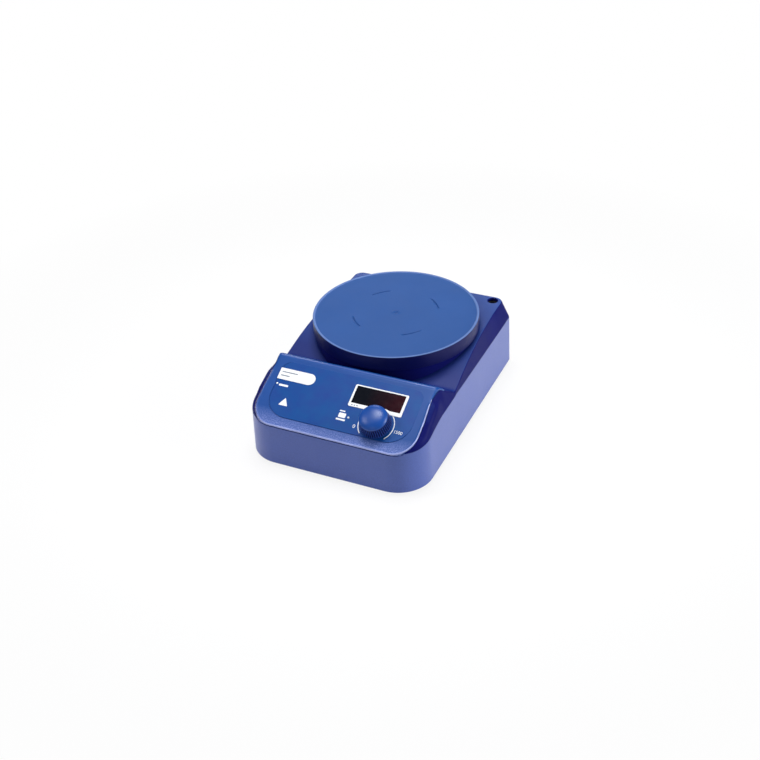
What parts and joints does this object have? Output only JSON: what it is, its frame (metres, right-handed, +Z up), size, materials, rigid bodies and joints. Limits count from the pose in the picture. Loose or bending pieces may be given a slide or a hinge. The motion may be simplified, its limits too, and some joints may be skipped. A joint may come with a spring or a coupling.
{
  "type": "magnetic stirrer",
  "caption": "Compact laboratory magnetic stirrer: sloping control panel with display and speed knob, round top plate, motor with magnets turning beneath it.",
  "frame": {"origin": "middle of the footprint, on the plane that the rubber feet stand on", "axes": "+Z up, -Y towards the user (the control panel's side), +X to the user's right"},
  "size_m": [0.15, 0.2077, 0.0741],
  "materials": {
    "housing_plastic": "fine moulded texture, semi-matt royal blue",
    "panel_plastic": "satin blue",
    "plate_plastic": "even satin blue",
    "knob_plastic": "polished blue",
    "white_print": "white satin film",
    "display_lens": "dark red smoked lens",
    "lamp_lens": "translucent white lens",
    "black_plastic": "moulded black",
    "circuit_board": "solder mask green",
    "foot_rubber": "matt black",
    "zinc_steel": "zinc plated",
    "brass": "turned",
    "blackened_steel": "blackened, machined thread",
    "cast_aluminium": "as cast",
    "bearing_steel": "ground steel",
    "laminated_steel": "laminated steel",
    "magnet_nickel": "nickel plated",
    "enamel_copper": "enamelled copper wire",
    "winding_tape": "yellow winding tape and grey core",
    "fuse_glass": "clear glass tube",
    "lead_sleeve": "grey flexible sleeve"
  },
  "bodies": {
    "base": {"upper_housing": "housing_plastic", "bottom_plate": "housing_plastic", "control_panel": "panel_plastic", "display_frame": "white_print", "display_window": "display_lens", "display_module": "black_plastic", "control_board": "circuit_board", "control_board_screw_1": "zinc_steel", "control_board_screw_2": "zinc_steel", "control_board_screw_3": "zinc_steel", "control_board_screw_4": "zinc_steel", "potentiometer_body": "zinc_steel", "potentiometer_nut": "brass", "power_lamp": "lamp_lens", "stir_lamp": "lamp_lens", "name_label": "white_print", "top_plate": "plate_plastic", "plate_screw_1": "zinc_steel", "plate_screw_2": "zinc_steel", "plate_screw_3": "zinc_steel", "rod_socket": "blackened_steel", "motor_base": "cast_aluminium", "stator_core": "laminated_steel", "stator_winding": "enamel_copper", "lower_bearing": "bearing_steel", "upper_bearing": "bearing_steel", "motor_screw_1": "zinc_steel", "motor_screw_2": "zinc_steel", "motor_screw_3": "zinc_steel", "power_inlet": "black_plastic", "switch_body": "black_plastic", "supply_board": "circuit_board", "transformer": "winding_tape", "capacitor": "black_plastic", "supply_screw_1": "zinc_steel", "supply_screw_2": "zinc_steel", "supply_screw_3": "zinc_steel", "supply_screw_4": "zinc_steel", "foot_front_left": "foot_rubber", "foot_front_right": "foot_rubber", "foot_rear_left": "foot_rubber", "foot_rear_right": "foot_rubber", "case_screw_front_left": "zinc_steel", "case_screw_front_right": "zinc_steel", "case_screw_rear_left": "zinc_steel", "case_screw_rear_right": "zinc_steel", "ribbon_cable": "lead_sleeve", "motor_lead": "lead_sleeve", "mains_lead": "foot_rubber"},
    "speed_control": {"speed_knob": "knob_plastic", "potentiometer_shaft": "brass"},
    "rotor": {"motor_shaft": "bearing_steel", "rotor_cup": "zinc_steel", "rotor_magnet": "laminated_steel", "magnet_holder": "cast_aluminium", "drive_magnet_1": "magnet_nickel", "drive_magnet_2": "magnet_nickel"},
    "rocker": {"rocker_paddle": "black_plastic"},
    "drawer": {"fuse_drawer": "black_plastic", "fuse": "fuse_glass"}
  },
  "joints": [
    {"name": "knob_turn", "type": "hinge", "parent": "base", "child": "speed_control", "pos_m": [0.033, -0.08353, 0.04709], "axis": [0, -0.4364, 0.8998], "range_deg": [-270, 0]},
    {"name": "rotor_spin", "type": "hinge", "parent": "base", "child": "rotor", "pos_m": [0, 0.02924, 0.045], "axis": [0, 0, 1], "continuous": true},
    {"name": "rocker_tilt", "type": "hinge", "parent": "base", "child": "rocker", "pos_m": [0.036, 0.09765, 0.027], "axis": [1, 0, 0], "range_deg": [0, 20]},
    {"name": "drawer_slide", "type": "slide", "parent": "base", "child": "drawer", "axis": [0, 1, 0], "range_m": [0, 0.016]}
  ]
}
